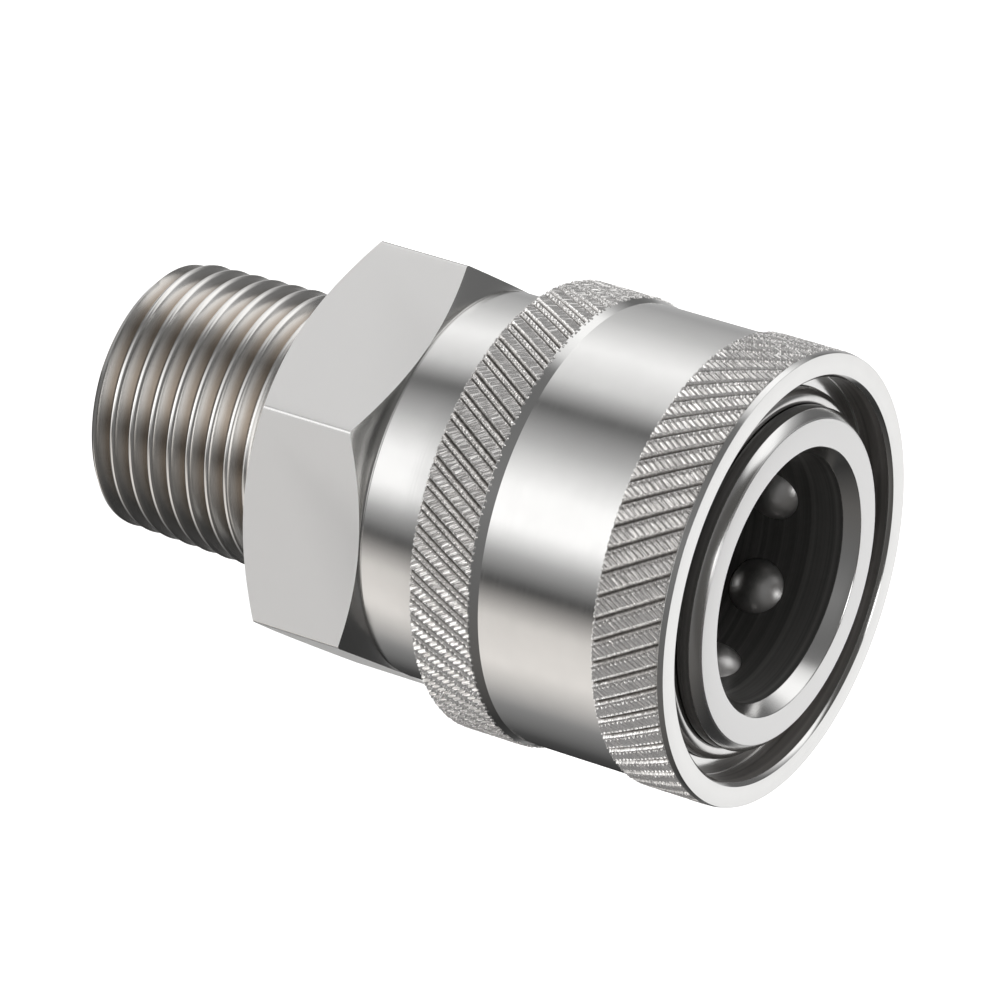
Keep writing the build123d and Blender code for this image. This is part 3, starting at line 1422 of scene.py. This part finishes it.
@dataclass
class Collar:
    """The sliding collar: two knurled bands, a polished waist, and the land inside."""

    rear: float = 27.15
    face: float = 44.4
    grip: float = 13.9
    waist: float = 13.6
    front_width: float = 4.58
    front_lead: float = 0.26
    rear_width: float = 4.15
    rear_lead: float = 0.09
    ramp: float = 0.6
    ramp_lead: float = 0.2
    edge: float = 0.22
    bore: float = 12.07
    rim: float = 12.3
    land_front: float = 42.4
    land_rear: float = 37.1
    land: float = 10.53
    cone_root: float = 38.81
    cone_mouth: float = 42.3
    cone_mouth_radius: float = 11.256
    lathe: Lathe = field(default_factory=Lathe)

    def shell(self) -> bpy.types.Object:
        """Turns the collar without its knurling.

        Returns:
            The shell, with a seat under each band.
        """
        front = self.face - self.front_width - self.front_lead - 0.02
        ramp = self.rear + self.rear_width - self.ramp_lead
        seat = self.grip - 0.34
        front_seat = seat - 0.08
        outline = [
            (self.bore, self.rear + 0.15),
            (self.bore + 0.15, self.rear),
            (seat, self.rear),
            (seat, ramp - 0.1),
            (self.grip - 0.06, ramp),
            (self.waist, ramp + self.ramp),
            (self.waist, front),
            (seat, front + 0.02),
            (front_seat, self.face - 0.5),
            (front_seat, self.face - 0.38),
            (self.grip - 0.03, self.face - 0.35),
            (self.grip - 0.1, self.face - 0.02),
            (self.grip - 0.12, self.face),
            (self.rim + self.edge, self.face),
            (self.rim, self.face - self.edge),
            (self.rim, self.land_front),
            (self.cone_mouth_radius + 0.1, self.land_front),
            (self.cone_mouth_radius, self.cone_mouth),
            (self.land, self.cone_root),
            (self.land, self.land_rear),
            (self.bore, self.land_rear),
        ]
        shell = self.lathe.turn("collar_shell", outline, edge=0.05)
        Bench.smooth(shell, 13)
        return shell

    def knurling(self) -> list[bpy.types.Object]:
        """Models the two knurled bands, which lean opposite ways.

        Returns:
            The front band and the rear one.
        """
        front = Knurl(
            "front_grip",
            self.face - self.front_width - self.front_lead,
            self.face - 0.4,
            GrooveSet(62, (Groove(0.0, 0.21, 0.26), Groove(0.3, 0.12, 0.1))),
            GrooveSet(248, (Groove(0.5, 0.165, 0.15),)),
            -30,
            0.9,
        )
        rear = Knurl(
            "rear_grip",
            self.rear - self.rear_lead,
            self.rear + self.rear_width - 0.06,
            GrooveSet(62, (Groove(0.0, 0.18, 0.25), Groove(0.34, 0.16, 0.22))),
            GrooveSet(248, (Groove(0.5, 0.165, 0.11),)),
            30,
            1.08,
        )
        return [front.build(), rear.build()]

    def build(self) -> list[bpy.types.Object]:
        """Builds and dresses the collar's pieces.

        Returns:
            The shell and the two bands.
        """
        bright = TurnedSteel(
            "turned_collar_steel",
            roughness=0.14,
            # Painted shade on the recess wall inside the rim, and on the land and cone inside the
            # collar.
            zones=(Zone(12.2, 12.4, 42.5, 44.15, 0.05), Zone(9.0, 11.3, 27.0, 42.25, 0.04)),
            painted_shade=(0.3, 0.285, 0.275),
        ).make()
        knurled = TurnedSteel(
            "knurled_collar_steel",
            ring_depth=0.0008,
            colour=(0.92, 0.905, 0.89),
            # Painted shade in the knurl's grooves.
            groove_shade=GrooveShade(self.grip, 0.06, 0.24, (0.36, 0.35, 0.34)),
            satin=(Zone(13.2, 14.0, 26.9, 44.5),),
            satin_colour=(0.95, 0.935, 0.92),
            satin_roughness=0.24,
            satin_metal=0.8,
        ).make()
        pieces = [(self.shell(), bright), *((band, knurled) for band in self.knurling())]
        return [
            Dresser.dress(piece, finish, Body.COLLAR.value, ["collar"], Slot.COLLAR)
            for piece, finish in pieces
        ]


@dataclass
class LockBalls:
    """The balls in the nose's wall."""

    count: int = 8
    first: float = -2.5
    radius: float = 1.984
    centre: float = 8.501
    height: float = 38.91

    def ball(self) -> bpy.types.Object:
        """Models one ball at angle zero, from a cube that is divided and rounded.

        Returns:
            The ball.
        """
        Bench.clear()
        bpy.ops.mesh.primitive_cube_add(
            size=2 * self.radius * MM, location=(self.centre * MM, 0, self.height * MM)
        )
        ball = bpy.context.object
        Bench.edit(ball)
        bpy.ops.mesh.subdivide(number_cuts=15)
        bpy.ops.object.mode_set(mode="OBJECT")
        cast = ball.modifiers.new("round", "CAST")
        cast.cast_type = "SPHERE"
        cast.factor = 1.0
        cast.size = self.radius * MM
        cast.use_radius_as_size = False
        Bench.apply(ball, cast)
        Bench.settle(ball)
        Bench.smooth(ball, 60)
        return ball

    def build(self) -> list[bpy.types.Object]:
        """Builds and dresses every ball.

        Returns:
            The balls.
        """
        finish = DrawnWire("polished_ball_steel", (0.75, 0.74, 0.73), 0.36, metal=0.9).make()
        pattern = self.ball()
        balls = []
        for number in range(self.count):
            turn = self.first + 360 / self.count * number
            ball = Bench.turned_copy(pattern, f"ball_{number + 1}", turn)
            node = f"lock_ball_{number + 1}"
            balls.append(Dresser.dress(ball, finish, f"ball_{number + 1}", [node], Slot.BALL))
        bpy.data.objects.remove(pattern)
        return balls


@dataclass
class RetainingRing:
    """The split wire ring in its groove on the nose."""

    wire: float = 0.65
    centre: float = 10.65
    height: float = 42.609
    gap: float = 14.0
    gap_at: float = 120.0

    def build(self) -> bpy.types.Object:
        """Builds and dresses the ring.

        Returns:
            The ring.
        """
        Bench.clear()
        bpy.ops.mesh.primitive_circle_add(
            vertices=32,
            radius=self.wire * MM,
            location=(self.centre * MM, 0, self.height * MM),
            rotation=(math.radians(90), 0, 0),
            fill_type="NOTHING",
        )
        ring = bpy.context.object
        ring.name = "retaining_wire"
        Bench.settle(ring)
        Bench.edit(ring, "EDGE")
        sweep = math.radians(360 - self.gap)
        bpy.ops.mesh.spin(steps=160, angle=sweep, center=(0, 0, 0), axis=(0, 0, 1), dupli=False)
        bpy.ops.mesh.select_all(action="SELECT")
        bpy.ops.mesh.fill_holes(sides=0)
        Bench.done(ring)
        Bench.heal(ring)
        Bench.soften(ring, 0.12)
        angles = [math.degrees(math.atan2(v.co.y, v.co.x)) % 360 for v in ring.data.vertices]
        runs_up = sum(1 for angle in angles if angle < 5) > 32
        start = self.gap_at + self.gap / 2 if runs_up else self.gap_at - self.gap / 2
        ring.rotation_euler = (0, 0, math.radians(start))
        Bench.settle(ring)
        Bench.smooth(ring, 40)
        finish = DrawnWire("retaining_wire_steel", (0.74, 0.73, 0.72), 0.18).make()
        return Dresser.dress(ring, finish, Body.RING.value, ["retaining_ring"], Slot.WIRE)


@dataclass
class ReturnSpring:
    """The spring behind the land, with closed and ground ends."""

    wire: float = 0.5
    radius: float = 11.26
    low: float = 28.23
    high: float = 37.07
    end_turns: float = 0.75
    active_turns: float = 1.9
    stroke: float = 4.7

    def climb(self, turns: float) -> float:
        """How high the wire has climbed.

        Args:
            turns: The turns from its lower end.

        Returns:
            The height of its middle, in millimetres.
        """
        start = self.low + self.wire / 2
        end_rise = 2 * self.wire * self.end_turns
        active_rise = (self.high - self.low - self.wire) - 2 * end_rise
        if turns < self.end_turns:
            return start + 2 * self.wire * turns
        if turns < self.end_turns + self.active_turns:
            return start + end_rise + active_rise * (turns - self.end_turns) / self.active_turns
        beyond = turns - self.end_turns - self.active_turns
        return start + end_rise + active_rise + 2 * self.wire * beyond

    def build(self) -> bpy.types.Object:
        """Builds and dresses the spring.

        Returns:
            The spring. In the coupler, the collar's slide squashes it.
        """
        Bench.clear()
        bpy.ops.curve.primitive_nurbs_path_add()
        path = bpy.context.object
        path.name = "return_spring_wire"
        curve = path.data
        curve.splines.clear()
        total = self.end_turns * 2 + self.active_turns
        count = int(total * 64)
        spline = curve.splines.new("POLY")
        spline.points.add(count)
        for number, point in enumerate(spline.points):
            turns = total * number / count
            angle = turns * FULL_TURN
            x, y = self.radius * math.cos(angle), self.radius * math.sin(angle)
            point.co = (x * MM, y * MM, self.climb(turns) * MM, 1.0)
        curve.dimensions = "3D"
        curve.twist_mode = "Z_UP"
        curve.bevel_depth = self.wire * MM
        curve.bevel_resolution = 5
        curve.use_fill_caps = True
        Bench.pick(path)
        bpy.ops.object.convert(target="MESH")
        spring = bpy.context.object
        Bench.heal(spring)
        Bench.trim(spring, self.low, self.high)
        Bench.heal(spring)
        Bench.smooth(spring, 35)
        finish = DrawnWire("spring_wire_steel", (0.6, 0.59, 0.58), 0.26).make()
        Dresser.dress(spring, finish, Body.BODY.value, ["return_spring"], Slot.WIRE)
        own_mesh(spring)
        return spring


@dataclass
class PlugSeal:
    """The O-ring in the socket's groove."""

    section: float = 1.31
    centre: float = 8.16
    height: float = 26.51
    lathe: Lathe = field(default_factory=Lathe)

    def build(self) -> bpy.types.Object:
        """Builds and dresses the seal, with its faint moulding line.

        Returns:
            The seal.
        """
        outline = arc((self.centre, self.height), self.section, 0, 345, 23)
        seal = self.lathe.turn("seal_ring", outline)
        Bench.smooth(seal, 60)
        finish = SealRubber("seal_rubber_black").make()
        return Dresser.dress(seal, finish, Body.BODY.value, ["plug_seal"], Slot.SEAL)


@dataclass
class Studio:
    """The floor, the surrounding light and the camera."""

    facing: float = -86.4
    low_edge: Point = (-0.75, -0.60)
    middle_edge: Point = (-0.40, -0.20)
    overhead: Colour = (0.1, 0.097, 0.093)
    overhead_edge: Point = (0.70, 0.80)
    lamp: Colour = (3.6, 3.6, 3.6)
    lamp_lift: float = 81.0
    lamp_edge: Point = (0.985, 0.995)
    warmth: float = 0.07
    WARM: ClassVar[Point] = (-115, -50)
    BELOW: ClassVar[tuple[Point, ...]] = (
        (-180, 0.15), (-125, 0.2), (-90, 0.2), (-60, 0.9), (-20, 2.1),
        (20, 1.1), (50, 0.15), (110, 0.2), (140, 0.5), (180, 0.3),
    )
    LOW: ClassVar[tuple[Point, ...]] = (
        (-180, 0.02), (-150, 0.07), (-120, 0.28), (-88, 1.0), (-62, 0.86),
        (-43, 0.05), (-28, 0.5), (-13, 1.4), (6, 1.35), (30, 0.6),
        (51, 0.12), (68, 0.86), (92, 1.22), (122, 0.66), (150, 0.42),
        (180, 0.5),
    )
    MIDDLE: ClassVar[tuple[Point, ...]] = (
        (-180, 1.1), (-160, 0.95), (-148, 0.06), (-127, 0.04), (-84, 0.14),
        (-38, 0.17), (0, 0.25), (47, 0.18), (66, 0.2), (76, 1.0),
        (92, 1.3), (106, 1.25), (118, 0.55), (130, 0.17), (150, 0.15),
        (162, 1.0), (180, 1.1),
    )

    def floor(self) -> None:
        """Lays the pale floor, which the steel's gloss doesn't show."""
        Bench.clear()
        bpy.ops.mesh.primitive_plane_add(size=20.0)
        floor = bpy.context.object
        floor.name = "studio_floor"
        floor.data.materials.append(StudioFloor().make())
        floor.visible_glossy = False

    def surround(self) -> None:
        """Sets soft white light all round, with the dim flags that give steel its bands."""
        world = bpy.data.worlds.new("soft_studio")
        bpy.context.scene.world = world
        world.use_nodes = True
        graph = Graph(world.node_tree)
        output = graph.add("OutputWorld")
        light = graph.add("Background")
        graph.link(light.outputs[0], output.inputs[0])
        way = graph.add("TexCoord").outputs["Generated"]
        axes = graph.add("SeparateXYZ")
        graph.link(way, axes.inputs[0])
        bearing = graph.maths("ARCTAN2", axes.outputs[1], axes.outputs[0])
        turned = graph.maths("SUBTRACT", math.radians(self.facing), bearing)
        share = graph.maths("FRACT", graph.maths("MULTIPLY_ADD", turned, 1 / FULL_TURN, 2.5))
        lift = axes.outputs[2]
        layers = (
            (lift, self.low_edge, graph.ramp(share, self.level(self.LOW))),
            (lift, self.middle_edge, graph.ramp(share, self.level(self.MIDDLE))),
            (lift, self.overhead_edge, opaque(self.overhead)),
            (self.toward_lamp(graph, way), self.lamp_edge, opaque(self.lamp)),
        )
        colour = graph.ramp(share, self.level(self.BELOW))
        for value, edge, over in layers:
            colour = graph.mix(graph.rise(value, *edge, ease=True), colour, over)
        graph.link(colour, light.inputs[0])

    def toward_lamp(self, graph: Graph, way: bpy.types.NodeSocket) -> bpy.types.NodeSocket:
        """Measures how nearly a direction points at the small lamp above the mouth.

        Args:
            graph: The world's graph.
            way: The socket with the direction.

        Returns:
            The socket with the measure, from -1 to 1.
        """
        bearing, lift = math.radians(self.facing), math.radians(self.lamp_lift)
        aim = graph.add("VectorMath", operation="DOT_PRODUCT")
        graph.link(way, aim.inputs[0])
        aim.inputs[1].default_value = (
            math.cos(lift) * math.cos(bearing),
            math.cos(lift) * math.sin(bearing),
            math.sin(lift),
        )
        return aim.outputs["Value"]

    def level(self, stops: Sequence[Point]) -> list[tuple[float, Colour]]:
        """Turns bearings and strengths into a ramp's stops, warmer towards the bench.

        Args:
            stops: The bearings in degrees, each with its strength.

        Returns:
            The stops, each a place from 0 to 1 with its colour.
        """
        ramp = []
        for bearing, glow in stops:
            warm = self.warmth if self.WARM[0] < bearing < self.WARM[1] else 0.0
            ramp.append((bearing / 360 + 0.5, (glow, glow * (1 - warm / 2), glow * (1 - warm))))
        return ramp

    def camera(self) -> None:
        """Sets the camera where the photograph was taken from."""
        lens = bpy.data.cameras.new("view")
        lens.lens = 270.0
        lens.sensor_width = 36.0
        lens.clip_start = 0.01
        camera = bpy.data.objects.new("view", lens)
        bpy.context.collection.objects.link(camera)
        right = Vector((-0.320064, 0.435209, 0.841518))
        up = Vector((-0.945784, -0.198578, -0.257021))
        back = Vector((0.055249, -0.878157, 0.475171))
        place = Matrix.Translation((0.0251082, -0.3936482, 0.2376319))
        turn = Matrix((right, up, back)).transposed().to_4x4()
        camera.matrix_world = place @ turn
        bpy.context.scene.camera = camera

    def build(self) -> None:
        """Builds the whole studio."""
        self.floor()
        self.surround()
        self.camera()
        bpy.context.scene.view_settings.view_transform = "Standard"


def main() -> None:
    """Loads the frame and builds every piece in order."""
    logging.basicConfig(level=logging.INFO, format="%(name)s: %(message)s")
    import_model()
    Bench.clear()
    Studio().build()
    steps: list[tuple[str, Callable[[], object]]] = [
        ("body", CouplerBody().build),
        ("collar", Collar().build),
        ("balls", LockBalls().build),
        ("retaining ring", RetainingRing().build),
        ("spring", ReturnSpring().build),
        ("seal", PlugSeal().build),
    ]
    for name, build in steps:
        build()
        LOG.info("%s built", name)


if __name__ == "__main__":
    main()
